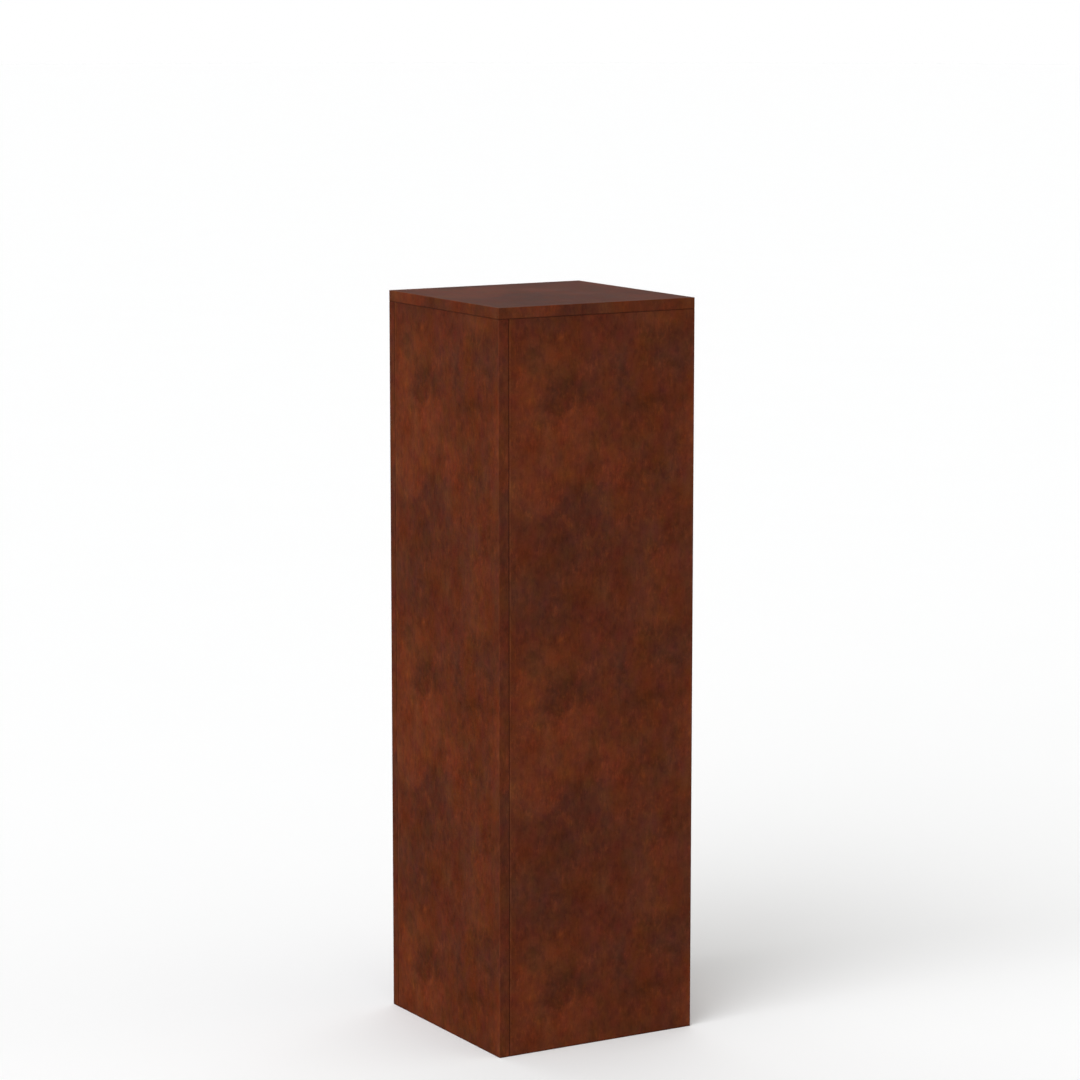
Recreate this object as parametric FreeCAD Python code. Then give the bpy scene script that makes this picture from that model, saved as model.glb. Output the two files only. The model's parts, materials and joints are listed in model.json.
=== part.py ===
"""Square display plinth: a hollow box column of laminated board, knocked down flat for shipping.

Four identical walls butt round the column like a pinwheel, so each wall hides one end of its neighbour
and shows its own banded edge on the next face. The top board lies over all four walls. A base board is
set up inside the foot of the column and carries four levelling feet, and a brace board squares the walls
at mid height. The walls, top and base are pulled together by cam locks on bolts and lined up by dowels.
The rear wall closes the box last, on dowels at one edge and connecting screws under flush caps.

Millimetres. Origin at the centre of the footprint, on the floor. +Z up, front wall towards -Y, right wall towards +X.
"""

import FreeCAD, Part
import math
import os

from FreeCAD import Vector as V, Matrix, Rotation, Placement

os.makedirs("parts", exist_ok=True)

# ---------------------------------------------------------------- driving dimensions
WIDTH = 300.0          # outer side of the square footprint
HEIGHT = 1000.0        # floor to display surface
BOARD = 15.0           # board thickness
BAND = 1.0             # edge band thickness
ARRIS_R = 0.7          # eased outer arrises of boards and bands

BASE_UNDER = 20.0      # underside of the base board above the floor
BRACE_TOP = 500.0      # upper face of the brace board
INNER_GAP = 0.2        # base and brace boards to each wall

CAM_BORE_R = 7.5       # cam housing bore, and its depth from the board's face
CAM_BORE_DEEP = 12.5
CAM_R = 7.4
CAM_SET = 0.3          # cam's face below the board's face
CAM_TALL = 12.0
CAM_BACK = 34.0        # cam centre from the joint plane
CAM_TURN = 180.0       # unlock travel
HEAD_R, HEAD_LONG, HEAD_AT = 2.8, 2.6, 3.9   # bolt head: radius, length, centre from the cam's axis
NECK_R = 1.6
SHANK_R = 3.4
FLANGE_R = 3.8
THREAD_R = 3.0
THREAD_IN = 11.0       # bolt thread in the mating board's face
BOLT_HOLE_R = 4.0
CLEAR = 0.05           # radial clearance of a fastener in its hole

DOWEL_R, DOWEL_LONG = 4.0, 30.0
DOWEL_IN_FACE, DOWEL_IN_EDGE = 11.0, 19.0

WALL_CAM_Z = (140.0, 540.0, 860.0)     # cam locks and connecting screws up the wall joints
WALL_DOWEL_Z = (250.0, 700.0)          # dowels up a cam joint
REAR_DOWEL_Z = (140.0, 380.0, 620.0, 860.0)
TOP_CAM_OFF = 85.0                     # top bolts either side of the wall's centre
TOP_DOWEL_OFF = 70.0                   # dowels between the front wall and the top
SHELF_CAM_OFF = 55.0                   # base bolts and brace dowels along the side walls
SHELF_DOWEL_OFF = 50.0                 # base and brace dowels along the front wall, screws along the rear

SCREW_LONG = 50.0
SCREW_HEAD_R, SCREW_BODY_R, SCREW_CORE_R = 4.8, 3.4, 2.5
CAP_R, CAP_THICK = 6.0, 1.0

FOOT_OFF = 105.0       # levelling feet from the centre, both ways
FOOT_TRAVEL = 12.0     # how far a foot winds out
THREAD_LEAD = 1.25     # M8 coarse
STUD_R = 4.0
NUT_FLANGE_R, NUT_FLANGE_T, NUT_BARREL_R, NUT_LONG = 9.5, 1.4, 5.5, 13.0
PAD_R = 15.0
PAD_Z = 0.8            # sole above the floor when fully wound in

# ---------------------------------------------------------------- derived
HALF = WIDTH / 2
INNER = HALF - BOARD                    # inner face of each wall
WALL_TOP = HEIGHT - BOARD
MID = HALF - BOARD / 2                  # middle of a wall's thickness
SHELF_HALF = INNER - INNER_GAP
BASE_MID = BASE_UNDER + BOARD / 2
BRACE_UNDER = BRACE_TOP - BOARD
BRACE_MID = BRACE_UNDER + BOARD / 2


def box(x0, y0, z0, x1, y1, z1):
    return Part.makeBox(x1 - x0, y1 - y0, z1 - z0, V(x0, y0, z0))


def rod(p, d, r, length):
    """A cylinder from p along d."""
    return Part.makeCylinder(r, length, V(*p), V(*d))


def cone(p, d, r0, r1, length):
    return Part.makeCone(r0, r1, length, V(*p), V(*d))


def turn(shape, quarter):
    """shape turned about the column's axis by whole quarter turns."""
    out = shape.copy()
    out.rotate(V(0, 0, 0), V(0, 0, 1), 90.0 * quarter)
    return out


def ease(shape, want, radius=ARRIS_R):
    """Rounds the straight edges for which want(midpoint, direction) holds."""
    edges = []
    for e in shape.Edges:
        a, b = e.Vertexes[0].Point, e.Vertexes[-1].Point
        if want((a + b) * 0.5, (b - a).normalize()):
            edges.append(e)
    return shape.makeFillet(radius, edges)


def near(a, b):
    return abs(a - b) < 1e-6


def one(shape):
    """The single solid in a boolean's result."""
    solids = shape.Solids
    assert len(solids) == 1, len(solids)
    return solids[0]


def group(shapes):
    return Part.makeCompound([one(s) for s in shapes])


def save(name, shape):
    assert shape.isValid(), name
    shape.exportStep("parts/%s.step" % name)
    print("%-28s solids %d  volume %.1f" % (name, len(shape.Solids), shape.Volume))


def placed(shape, origin, along, out):
    """shape moved from its local frame: local +X along 'along', local +Z along 'out', local origin at origin."""
    x, z = V(*along), V(*out)
    y = z.cross(x)
    m = Matrix(x.x, y.x, z.x, origin[0], x.y, y.y, z.y, origin[1], x.z, y.z, z.z, origin[2], 0, 0, 0, 1)
    moved = shape.copy()
    moved.Placement = Placement(m)
    return moved


# ---------------------------------------------------------------- fasteners, each in its own local frame
def cam_lock():
    """Local origin on the board's face at the cam's axis, +Z out of the face, +X towards the joint. Locked.

    Inside is a ring-shaped race for the bolt's head, a slot for its neck, and a mouth at the far end where the
    head drops in when the lock is turned back by CAM_TURN.
    """
    top, low = -CAM_SET, -CAM_SET - CAM_TALL
    mid = -BOARD / 2
    body = rod((0, 0, low), (0, 0, 1), CAM_R, CAM_TALL)
    half = HEAD_R + 0.35

    def sector(r, z0, z1, start, sweep):
        s = Part.makeCylinder(r, z1 - z0, V(0, 0, z0), V(0, 0, 1), sweep)
        s.rotate(V(0, 0, 0), V(0, 0, 1), start)
        return s

    # the lock turns anticlockwise to open, so the bolt lies ever further clockwise in the cam
    race = sector(6.15, mid - half, mid + half, -CAM_TURN - 55, CAM_TURN + 110)
    race = race.cut(rod((0, 0, mid - half - 1), (0, 0, 1), 2.2, 2 * half + 2))
    neck_half = NECK_R + 0.25
    slot = sector(CAM_R + 1, mid - neck_half, mid + neck_half, -CAM_TURN - 22, CAM_TURN + 44)
    slot = slot.cut(rod((0, 0, mid - half - 1), (0, 0, 1), 5.0, 2 * half + 2))
    mouth = box(-CAM_R - 1, -half, mid - half, -2.4, half, mid + half)
    driver = box(-4.2, -0.55, top - 2.6, 4.2, 0.55, top + 1).fuse(box(-0.55, -4.2, top - 2.6, 0.55, 4.2, top + 1))
    arrow = box(4.9, -0.45, top - 0.4, 6.6, 0.45, top + 1)
    return one(body.cut(race).cut(slot).cut(mouth).cut(driver).cut(arrow))


def cam_bolt():
    """Local frame of its cam: head by the cam's axis, thread in the mating board beyond the joint plane."""
    z = -BOARD / 2
    h0, h1 = HEAD_AT - HEAD_LONG / 2, HEAD_AT + HEAD_LONG / 2
    parts = [
        rod((h0, 0, z), (1, 0, 0), HEAD_R, HEAD_LONG),
        rod((h1 - 0.2, 0, z), (1, 0, 0), NECK_R, 3.4),
        rod((h1 + 2.9, 0, z), (1, 0, 0), SHANK_R, CAM_BACK - 2.0 - (h1 + 2.9) + 0.2),
        rod((CAM_BACK - 2.0, 0, z), (1, 0, 0), FLANGE_R, 2.0),
        rod((CAM_BACK - 0.2, 0, z), (1, 0, 0), THREAD_R, THREAD_IN + 0.2 - 1.0),
        cone((CAM_BACK + THREAD_IN - 1.0, 0, z), (1, 0, 0), THREAD_R, THREAD_R - 1.0, 1.0),
    ]
    s = parts[0]
    for p in parts[1:]:
        s = s.fuse(p)
    s = s.removeSplitter()
    ridges = [rod((h1 + 6.0 + 4.0 * i, 0, z), (1, 0, 0), SHANK_R + 1, 1.0).cut(
        rod((h1 + 5.5 + 4.0 * i, 0, z), (1, 0, 0), SHANK_R - 0.35, 2.0)) for i in range(5)]
    for r in ridges:
        s = s.cut(r)
    return one(s)


def bore_for_cam():
    """What the cam and the bolt's shank need cut from the board that holds the cam."""
    return rod((0, 0, 1), (0, 0, -1), CAM_BORE_R, CAM_BORE_DEEP + 1).fuse(
        rod((0, 0, -BOARD / 2), (1, 0, 0), BOLT_HOLE_R, CAM_BACK + 1))


def bore_for_thread():
    """What the bolt's thread needs cut from the mating board, in the cam's frame."""
    return rod((CAM_BACK - 1, 0, -BOARD / 2), (1, 0, 0), THREAD_R + CLEAR, THREAD_IN + 1.5)


def dowel(p, d):
    """A chamfered, fluted dowel. p is on the joint plane, d points into the board that takes it edgewise."""
    a = V(*p) - V(*d) * DOWEL_IN_FACE
    s = rod(a, d, DOWEL_R, DOWEL_LONG)
    s = s.makeChamfer(0.9, [e for e in s.Edges if e.Curve.TypeId == "Part::GeomCircle"])
    d = V(*d)
    side = V(0, 0, 1) if abs(d.z) < 0.5 else V(1, 0, 0)
    for i in range(8):
        at = Rotation(d, 45.0 * i + 22.5).multVec(side) * (DOWEL_R + 0.15)
        s = s.cut(rod(a + at - d, d, 0.45, DOWEL_LONG + 2))
    return one(s)


def hole_in_face(p, d):
    """Dowel hole in the board whose face is drilled: d points out of that face."""
    return rod(V(*p) + V(*d), -V(*d), DOWEL_R + CLEAR, DOWEL_IN_FACE + 2.0)


def hole_in_edge(p, d):
    """Dowel hole in the board whose edge is drilled: d points into that edge."""
    return rod(V(*p) - V(*d), V(*d), DOWEL_R + CLEAR, DOWEL_IN_EDGE + 2.0)


def screw():
    """Connecting screw. Local origin on the rear wall's outer face, +Z out of the face."""
    head = -CAP_THICK - 0.2
    s = rod((0, 0, head - 0.5), (0, 0, 1), SCREW_HEAD_R, 0.5)
    s = s.fuse(cone((0, 0, head - 3.5), (0, 0, 1), SCREW_BODY_R, SCREW_HEAD_R, 3.0))
    s = s.fuse(rod((0, 0, -BOARD + 0.5), (0, 0, 1), SCREW_BODY_R, BOARD - 0.5 + head - 3.5))
    s = s.fuse(rod((0, 0, head - SCREW_LONG + 2), (0, 0, 1), SCREW_CORE_R, SCREW_LONG - 2 - BOARD + 0.5 - head))
    s = s.fuse(cone((0, 0, head - SCREW_LONG), (0, 0, 1), 1.0, SCREW_CORE_R, 2.0))
    key = Part.makePolygon([V(2.31 * math.cos(math.radians(60 * i)), 2.31 * math.sin(math.radians(60 * i)), head - 3.0)
                            for i in range(7)])
    socket = Part.Face(key).extrude(V(0, 0, 4))
    return one(s.removeSplitter().cut(socket))


def screw_cap():
    """Flush cap over a connecting screw, with a plug that pushes into the screw's socket."""
    s = rod((0, 0, -CAP_THICK), (0, 0, 1), CAP_R, CAP_THICK)
    s = s.fuse(rod((0, 0, -CAP_THICK - 2.4), (0, 0, 1), 1.85, 2.6)).removeSplitter()
    rim = [e for e in s.Edges if e.Curve.TypeId == "Part::GeomCircle" and near(e.Curve.Radius, CAP_R) and near(e.CenterOfMass.z, 0)]
    return one(s.makeFillet(0.3, rim))


def bore_for_screw_face():
    head = -CAP_THICK - 0.2
    s = rod((0, 0, -CAP_THICK - 0.05), (0, 0, 1), CAP_R + CLEAR, CAP_THICK + 2)
    s = s.fuse(rod((0, 0, head - 0.5), (0, 0, 1), SCREW_HEAD_R + 0.1, 0.8))
    s = s.fuse(cone((0, 0, head - 3.5), (0, 0, 1), SCREW_BODY_R + 0.1, SCREW_HEAD_R + 0.1, 3.0))
    return s.fuse(rod((0, 0, -BOARD - 1), (0, 0, 1), SCREW_BODY_R + 0.1, BOARD + 1 + head - 3.5))


def bore_for_screw_edge():
    head = -CAP_THICK - 0.2
    return rod((0, 0, head - SCREW_LONG - 1.0), (0, 0, 1), SCREW_CORE_R + CLEAR, SCREW_LONG + 1.0 - BOARD - head + 1.0)


# ---------------------------------------------------------------- where the fasteners sit
CAM, BOLT, SCREW, CAP = cam_lock(), cam_bolt(), screw(), screw_cap()


def quarter_frame(quarter, p, along, out):
    """A frame given on the front wall, carried round to another wall."""
    r = Rotation(V(0, 0, 1), 90.0 * quarter)
    return tuple(tuple(round(c, 9) for c in r.multVec(V(*v))) for v in (p, along, out))


# (origin on the board's face, direction to the joint, direction out of the face), by cam name
cams = {}
for quarter, wall in ((0, "front_panel"), (1, "right_panel")):
    for z, label in zip(WALL_CAM_Z, ("lower", "middle", "upper")):
        cams["cam_lock_%s_%s" % (wall, label)] = quarter_frame(quarter, (-INNER + CAM_BACK, -INNER, z), (-1, 0, 0), (0, 1, 0))
for quarter, side, ends in ((1, "right", ("front", "rear")), (3, "left", ("rear", "front"))):
    for off, end in zip((-TOP_CAM_OFF, TOP_CAM_OFF), ends):
        cams["cam_lock_top_%s_%s" % (side, end)] = quarter_frame(quarter, (off, -INNER, WALL_TOP - CAM_BACK), (0, 0, 1), (0, 1, 0))
for sx, side in ((-1, "left"), (1, "right")):
    for sy, end in ((-1, "front"), (1, "rear")):
        cams["cam_lock_base_%s_%s" % (side, end)] = ((sx * (INNER - CAM_BACK), sy * SHELF_CAM_OFF, BASE_UNDER), (sx, 0, 0), (0, 0, -1))

# dowels: (point on the joint plane, direction into the edge-drilled board), by joint
dowels = {
    "front_left": [((-INNER, -MID, z), (1, 0, 0)) for z in WALL_DOWEL_Z],
    "front_right": [((MID, -INNER, z), (0, 1, 0)) for z in WALL_DOWEL_Z],
    "rear_right": [((INNER, MID, z), (-1, 0, 0)) for z in REAR_DOWEL_Z],
    "top": [((x, -MID, WALL_TOP), (0, 0, -1)) for x in (-TOP_DOWEL_OFF, TOP_DOWEL_OFF)]
    + [((x, 0, WALL_TOP), (0, 0, -1)) for x in (-MID, MID)],
    "base": [((x, -INNER, BASE_MID), (0, 1, 0)) for x in (-SHELF_DOWEL_OFF, SHELF_DOWEL_OFF)],
    "brace": [((x, -INNER, BRACE_MID), (0, 1, 0)) for x in (-SHELF_DOWEL_OFF, SHELF_DOWEL_OFF)]
    + [((-INNER, y, BRACE_MID), (1, 0, 0)) for y in (-SHELF_CAM_OFF, SHELF_CAM_OFF)]
    + [((INNER, y, BRACE_MID), (-1, 0, 0)) for y in (-SHELF_CAM_OFF, SHELF_CAM_OFF)],
}
# connecting screws: origin on the rear wall's outer face
screw_at = [(-MID, z) for z in WALL_CAM_Z] + [(x, z) for z in (BASE_MID, BRACE_MID) for x in (-SHELF_DOWEL_OFF, SHELF_DOWEL_OFF)]
screws = [((x, HALF, z), (1, 0, 0), (0, 1, 0)) for x, z in screw_at]
feet = {"front_left": (-FOOT_OFF, -FOOT_OFF), "front_right": (FOOT_OFF, -FOOT_OFF),
        "rear_left": (-FOOT_OFF, FOOT_OFF), "rear_right": (FOOT_OFF, FOOT_OFF)}

# ---------------------------------------------------------------- boards and edge bands
def wall_board():
    """The front wall with its band still on. Its left end butts on the left wall, and its right end covers the right wall's edge."""
    b = box(-INNER, -HALF, 0, HALF, -INNER, WALL_TOP)

    def outer(m, d):
        if abs(d.z) > 0.9:
            return not (near(m.x, -INNER) and near(m.y, -INNER))
        if abs(d.x) > 0.9:
            return near(m.y, -HALF)
        return near(m.x, HALF)

    return ease(b, outer)


WALLS = ("front_panel", "right_panel", "rear_panel", "left_panel")
whole = wall_board()
core = one(whole.common(box(-HALF, -HALF - 1, -1, HALF - BAND, 0, HEIGHT)))
band = one(whole.common(box(HALF - BAND, -HALF - 1, -1, HALF + 1, 0, HEIGHT)))
boards = {n: turn(core, k) for k, n in enumerate(WALLS)}
bands = {n.replace("panel", "panel_edge_band"): turn(band, k) for k, n in enumerate(WALLS)}

top_whole = ease(box(-HALF, -HALF, WALL_TOP, HALF, HALF, HEIGHT), lambda m, d: True)
inside = HALF - BAND
boards["top_panel"] = one(top_whole.common(box(-inside, -inside, 0, inside, inside, 2000)))
bands["top_edge_band_front"] = one(top_whole.common(box(-HALF, -HALF, 0, HALF, -inside, 2000)))
bands["top_edge_band_rear"] = one(top_whole.common(box(-HALF, inside, 0, HALF, HALF, 2000)))
bands["top_edge_band_left"] = one(top_whole.common(box(-HALF, -inside, 0, -inside, inside, 2000)))
bands["top_edge_band_right"] = one(top_whole.common(box(inside, -inside, 0, HALF, inside, 2000)))

S = SHELF_HALF
boards["base_panel"] = box(-S, -S, BASE_UNDER, S, S, BASE_UNDER + BOARD)
boards["brace_panel"] = box(-S, -S, BRACE_UNDER, S, S, BRACE_TOP)

# which board holds each cam, and which takes its bolt
cuts = {n: [] for n in boards}
for name, frame in cams.items():
    if "_top_" in name:
        holder, mate = ("left_panel" if "_left_" in name else "right_panel"), "top_panel"
    elif "_base_" in name:
        holder, mate = "base_panel", ("left_panel" if "_left_" in name else "right_panel")
    elif "front_panel" in name:
        holder, mate = "front_panel", "left_panel"
    else:
        holder, mate = "right_panel", "front_panel"
    cuts[holder].append(placed(bore_for_cam(), *frame))
    cuts[mate].append(placed(bore_for_thread(), *frame))

sides = {  # joint: (board drilled in its face, board drilled in its edge) by dowel
    "front_left": lambda p: ("left_panel", "front_panel"),
    "front_right": lambda p: ("front_panel", "right_panel"),
    "rear_right": lambda p: ("right_panel", "rear_panel"),
    "top": lambda p: ("top_panel", "front_panel" if near(p[1], -MID) else ("left_panel" if p[0] < 0 else "right_panel")),
    "base": lambda p: ("front_panel", "base_panel"),
    "brace": lambda p: ("front_panel" if near(p[1], -INNER) else ("left_panel" if p[0] < 0 else "right_panel"), "brace_panel"),
}
for joint, places in dowels.items():
    for p, d in places:
        face_board, edge_board = sides[joint](p)
        cuts[face_board].append(hole_in_face(p, d))
        cuts[edge_board].append(hole_in_edge(p, d))

for (x, z), frame in zip(screw_at, screws):
    cuts["rear_panel"].append(placed(bore_for_screw_face(), *frame))
    target = "left_panel" if near(x, -MID) else ("base_panel" if near(z, BASE_MID) else "brace_panel")
    cuts[target].append(placed(bore_for_screw_edge(), *frame))

for x, y in feet.values():
    cuts["base_panel"].append(rod((x, y, BASE_UNDER - 1), (0, 0, 1), NUT_BARREL_R + CLEAR, BOARD + 2))

for name, board in boards.items():
    for c in cuts[name]:
        board = board.cut(c)
    save(name, one(board))
for name, b in bands.items():
    save(name, b)

# ---------------------------------------------------------------- fasteners
for name, frame in cams.items():
    save(name, placed(CAM, *frame))


def bolts_of(words):
    return group([placed(BOLT, *f) for n, f in cams.items() if words in n])


save("cam_bolts_front_left_joint", bolts_of("front_panel"))
save("cam_bolts_front_right_joint", bolts_of("right_panel"))
save("cam_bolts_top", bolts_of("_top_"))
save("cam_bolts_base", bolts_of("_base_"))
for joint, places in dowels.items():
    save("dowels_%s" % (joint if joint in ("top", "base", "brace") else joint + "_joint"), group([dowel(p, d) for p, d in places]))
save("connecting_screws", group([placed(SCREW, *f) for f in screws]))
save("screw_caps", group([placed(CAP, *f) for f in screws]))

# ---------------------------------------------------------------- levelling feet
def insert_nut(x, y):
    s = rod((x, y, BASE_UNDER - NUT_FLANGE_T), (0, 0, 1), NUT_FLANGE_R, NUT_FLANGE_T)
    s = s.fuse(rod((x, y, BASE_UNDER - 0.1), (0, 0, 1), NUT_BARREL_R, NUT_LONG + 0.1)).removeSplitter()
    return one(s.cut(rod((x, y, 0), (0, 0, 1), STUD_R + CLEAR, 100)))


BALL_Z = PAD_Z + 6.5
HEX_TOP = BASE_UNDER - NUT_FLANGE_T - 0.4
HEX_LOW = HEX_TOP - 5.0
STUD_TOP = 50.0


def foot_pad(x, y):
    """Nylon swivel pad with a ball socket. Its sole is separate."""
    z = PAD_Z + 1.0
    prof = [V(0, 0, z), V(PAD_R - 0.8, 0, z), V(PAD_R, 0, z + 0.8), V(PAD_R, 0, z + 2.4), V(7.2, 0, z + 7.4), V(6.2, 0, z + 8.6), V(0, 0, z + 8.6), V(0, 0, z)]
    s = Part.Face(Part.makePolygon(prof)).revolve(V(0, 0, 0), V(0, 0, 1), 360)
    s = Part.Solid(s) if s.ShapeType == "Shell" else s
    s = s.cut(Part.makeSphere(4.3, V(0, 0, BALL_Z)))
    s = s.cut(cone((0, 0, BALL_Z), (0, 0, 1), 3.0, 4.2, 10.0))
    for i in range(6):  # moulded grip flutes round the rim
        a = math.radians(60 * i + 30)
        s = s.cut(rod((17.2 * math.cos(a), 17.2 * math.sin(a), 0), (0, 0, 1), 3.4, 20))
    s = s.copy()
    s.translate(V(x, y, 0))
    return one(s)


def foot_sole(x, y):
    s = rod((x, y, PAD_Z), (0, 0, 1), 12.5, 1.0)
    return one(s)


def foot_stud(x, y):
    """M8 stud with a hexagon collar and a ball end."""
    s = rod((0, 0, HEX_TOP - 0.1), (0, 0, 1), STUD_R, STUD_TOP - HEX_TOP - 0.9)
    s = s.fuse(cone((0, 0, STUD_TOP - 1.0), (0, 0, 1), STUD_R, STUD_R - 1.0, 1.0))
    flats = [V(7.5 * math.cos(math.radians(60 * i)), 7.5 * math.sin(math.radians(60 * i)), HEX_LOW) for i in range(7)]
    hexagon = Part.Face(Part.makePolygon(flats)).extrude(V(0, 0, HEX_TOP - HEX_LOW))
    hexagon = hexagon.common(cone((0, 0, HEX_LOW), (0, 0, 1), 6.9, 9.5, 2.6).fuse(rod((0, 0, HEX_LOW + 2.5), (0, 0, 1), 9.5, 10)))
    s = s.fuse(hexagon)
    s = s.fuse(rod((0, 0, BALL_Z), (0, 0, 1), 2.6, HEX_LOW - BALL_Z + 0.2))
    s = s.fuse(Part.makeSphere(4.0, V(0, 0, BALL_Z))).removeSplitter()
    for i in range(12):  # thread crests as shallow rings
        z = STUD_TOP - 3.0 - 2.0 * i
        if z > HEX_TOP + 2.0:
            s = s.cut(rod((0, 0, z), (0, 0, 1), STUD_R + 1, 0.6).cut(rod((0, 0, z - 1), (0, 0, 1), STUD_R - 0.35, 3)))
    s = s.copy()
    s.translate(V(x, y, 0))
    return one(s)


save("foot_insert_nuts", group([insert_nut(*p) for p in feet.values()]))
for corner, p in feet.items():
    save("foot_pad_" + corner, foot_pad(*p))
    save("foot_sole_" + corner, foot_sole(*p))
    save("foot_stud_" + corner, foot_stud(*p))
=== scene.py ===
"""Looks of the display plinth: printed melamine decor, chipboard, edge bands and hardware, in the CAD model's own frame."""
import json
import math

import bpy
from mathutils import Matrix, Vector


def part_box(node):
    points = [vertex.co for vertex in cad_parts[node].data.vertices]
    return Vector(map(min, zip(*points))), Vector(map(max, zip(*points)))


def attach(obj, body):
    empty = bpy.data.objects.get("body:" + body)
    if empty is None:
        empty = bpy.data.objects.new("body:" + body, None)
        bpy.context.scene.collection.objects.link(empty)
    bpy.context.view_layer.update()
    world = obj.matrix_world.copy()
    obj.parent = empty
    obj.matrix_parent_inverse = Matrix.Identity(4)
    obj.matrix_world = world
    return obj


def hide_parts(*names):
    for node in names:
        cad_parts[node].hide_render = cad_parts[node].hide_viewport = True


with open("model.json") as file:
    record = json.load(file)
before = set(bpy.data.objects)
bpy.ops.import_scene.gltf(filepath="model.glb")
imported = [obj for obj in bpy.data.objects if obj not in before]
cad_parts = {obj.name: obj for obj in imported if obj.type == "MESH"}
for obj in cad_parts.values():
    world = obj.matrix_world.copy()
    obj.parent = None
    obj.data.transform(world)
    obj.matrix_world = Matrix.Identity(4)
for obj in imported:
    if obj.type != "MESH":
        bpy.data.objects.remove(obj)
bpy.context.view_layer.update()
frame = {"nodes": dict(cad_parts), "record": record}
NODES = frame["nodes"]
SLOT_OF = {s["node"]: s["material_slot"] for s in frame["record"]["subparts"]}

# ---------------------------------------------------------------- sizes, read from the frame
LO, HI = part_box("top_panel")
HALF = max(abs(c) for c in (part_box("top_edge_band_front")[0].x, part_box("top_edge_band_front")[0].y))
HEIGHT = HI.z
BOARD = HI.z - LO.z
REPEAT = 0.400  # the printed decor repeats up the wall at this length


# ---------------------------------------------------------------- node helpers
def lin(c):
    c = c / 255.0
    return c / 12.92 if c <= 0.04045 else ((c + 0.055) / 1.055) ** 2.4


def rgb(r, g, b):
    return (lin(r), lin(g), lin(b), 1.0)


LIT = 0.93  # light that reaches the walls, as a share of white
VEIL = 0.0035  # white gloss that the studio adds on the walls
PRINT = (84.5, 39.6, 22.6)  # the print's mean colour on the front wall


def seen(r, g, b):
    """Base colour that shows as this 8-bit colour on the front wall."""
    return tuple(max(lin(c) - VEIL, 0.0008) / LIT for c in (r, g, b)) + (1.0,)


class Graph:
    """Short names for building a node tree."""

    def __init__(self, tree):
        self.t = tree

    def new(self, kind, **props):
        n = self.t.nodes.new(kind)
        for k, v in props.items():
            setattr(n, k, v)
        return n

    def put(self, socket, value):
        if isinstance(value, bpy.types.NodeSocket):
            self.t.links.new(value, socket)
        elif value is not None:
            socket.default_value = value

    def math(self, op, a, b=None, c=None, clamp=False):
        n = self.new("ShaderNodeMath", operation=op, use_clamp=clamp)
        for s, v in zip(n.inputs, (a, b, c)):
            self.put(s, v)
        return n.outputs[0]

    def vec(self, op, a, b=None, c=None, out=0):
        n = self.new("ShaderNodeVectorMath", operation=op)
        for s, v in zip(n.inputs, (a, b, c)):
            self.put(s, v)
        return n.outputs[out]

    def scale(self, a, k):
        n = self.new("ShaderNodeVectorMath", operation="SCALE")
        self.put(n.inputs[0], a)
        self.put(n.inputs["Scale"], k)
        return n.outputs[0]

    def dot(self, a, b):
        return self.vec("DOT_PRODUCT", a, b, out=1)

    def split(self, v):
        n = self.new("ShaderNodeSeparateXYZ")
        self.put(n.inputs[0], v)
        return n.outputs

    def join(self, x=0.0, y=0.0, z=0.0):
        n = self.new("ShaderNodeCombineXYZ")
        for s, v in zip(n.inputs, (x, y, z)):
            self.put(s, v)
        return n.outputs[0]

    def noise(self, v, scale, detail=2.0, rough=0.5, distort=0.0, colour=False, lac=2.0):
        n = self.new("ShaderNodeTexNoise", noise_dimensions="3D")
        self.put(n.inputs["Vector"], v)
        n.inputs["Scale"].default_value = scale
        n.inputs["Detail"].default_value = detail
        n.inputs["Roughness"].default_value = rough
        n.inputs["Lacunarity"].default_value = lac
        n.inputs["Distortion"].default_value = distort
        return n.outputs["Color" if colour else "Fac"]

    def cells(self, v, scale, feature="F1", out="Distance", random=1.0):
        n = self.new("ShaderNodeTexVoronoi", voronoi_dimensions="3D", feature=feature)
        self.put(n.inputs["Vector"], v)
        n.inputs["Scale"].default_value = scale
        n.inputs["Randomness"].default_value = random
        return n.outputs[out]

    def remap(self, v, a, b, c=0.0, d=1.0, kind="SMOOTHSTEP"):
        n = self.new("ShaderNodeMapRange", interpolation_type=kind, clamp=True)
        for s, x in zip(n.inputs[:5], (v, a, b, c, d)):
            self.put(s, x)
        return n.outputs[0]

    def mix(self, fac, a, b, blend="MIX"):
        n = self.new("ShaderNodeMix", data_type="RGBA", blend_type=blend, clamp_factor=True)
        self.put(n.inputs[0], fac)
        self.put(n.inputs[6], a)
        self.put(n.inputs[7], b)
        return n.outputs[2]

    def ramp(self, fac, stops):
        n = self.new("ShaderNodeValToRGB")
        e = n.color_ramp.elements
        while len(e) < len(stops):
            e.new(0.5)
        for el, (p, c) in zip(e, stops):
            el.position, el.color = p, c
        self.put(n.inputs[0], fac)
        return n.outputs[0]

    def turned(self, v, degrees):
        n = self.new("ShaderNodeVectorRotate", rotation_type="Z_AXIS")
        self.put(n.inputs["Vector"], v)
        n.inputs["Angle"].default_value = math.radians(degrees)
        return n.outputs[0]

    def place(self):
        return self.new("ShaderNodeTexCoord").outputs["Object"]

    def group(self, tree, **inputs):
        n = self.new("ShaderNodeGroup")
        n.node_tree = tree
        for k, v in inputs.items():
            self.put(n.inputs[k], v)
        return n.outputs


def material(name):
    m = bpy.data.materials.new(name)
    m.use_nodes = True
    t = m.node_tree
    t.nodes.clear()
    g = Graph(t)
    out = g.new("ShaderNodeOutputMaterial")
    bsdf = g.new("ShaderNodeBsdfPrincipled")
    t.links.new(bsdf.outputs[0], out.inputs[0])
    return m, g, bsdf


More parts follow.
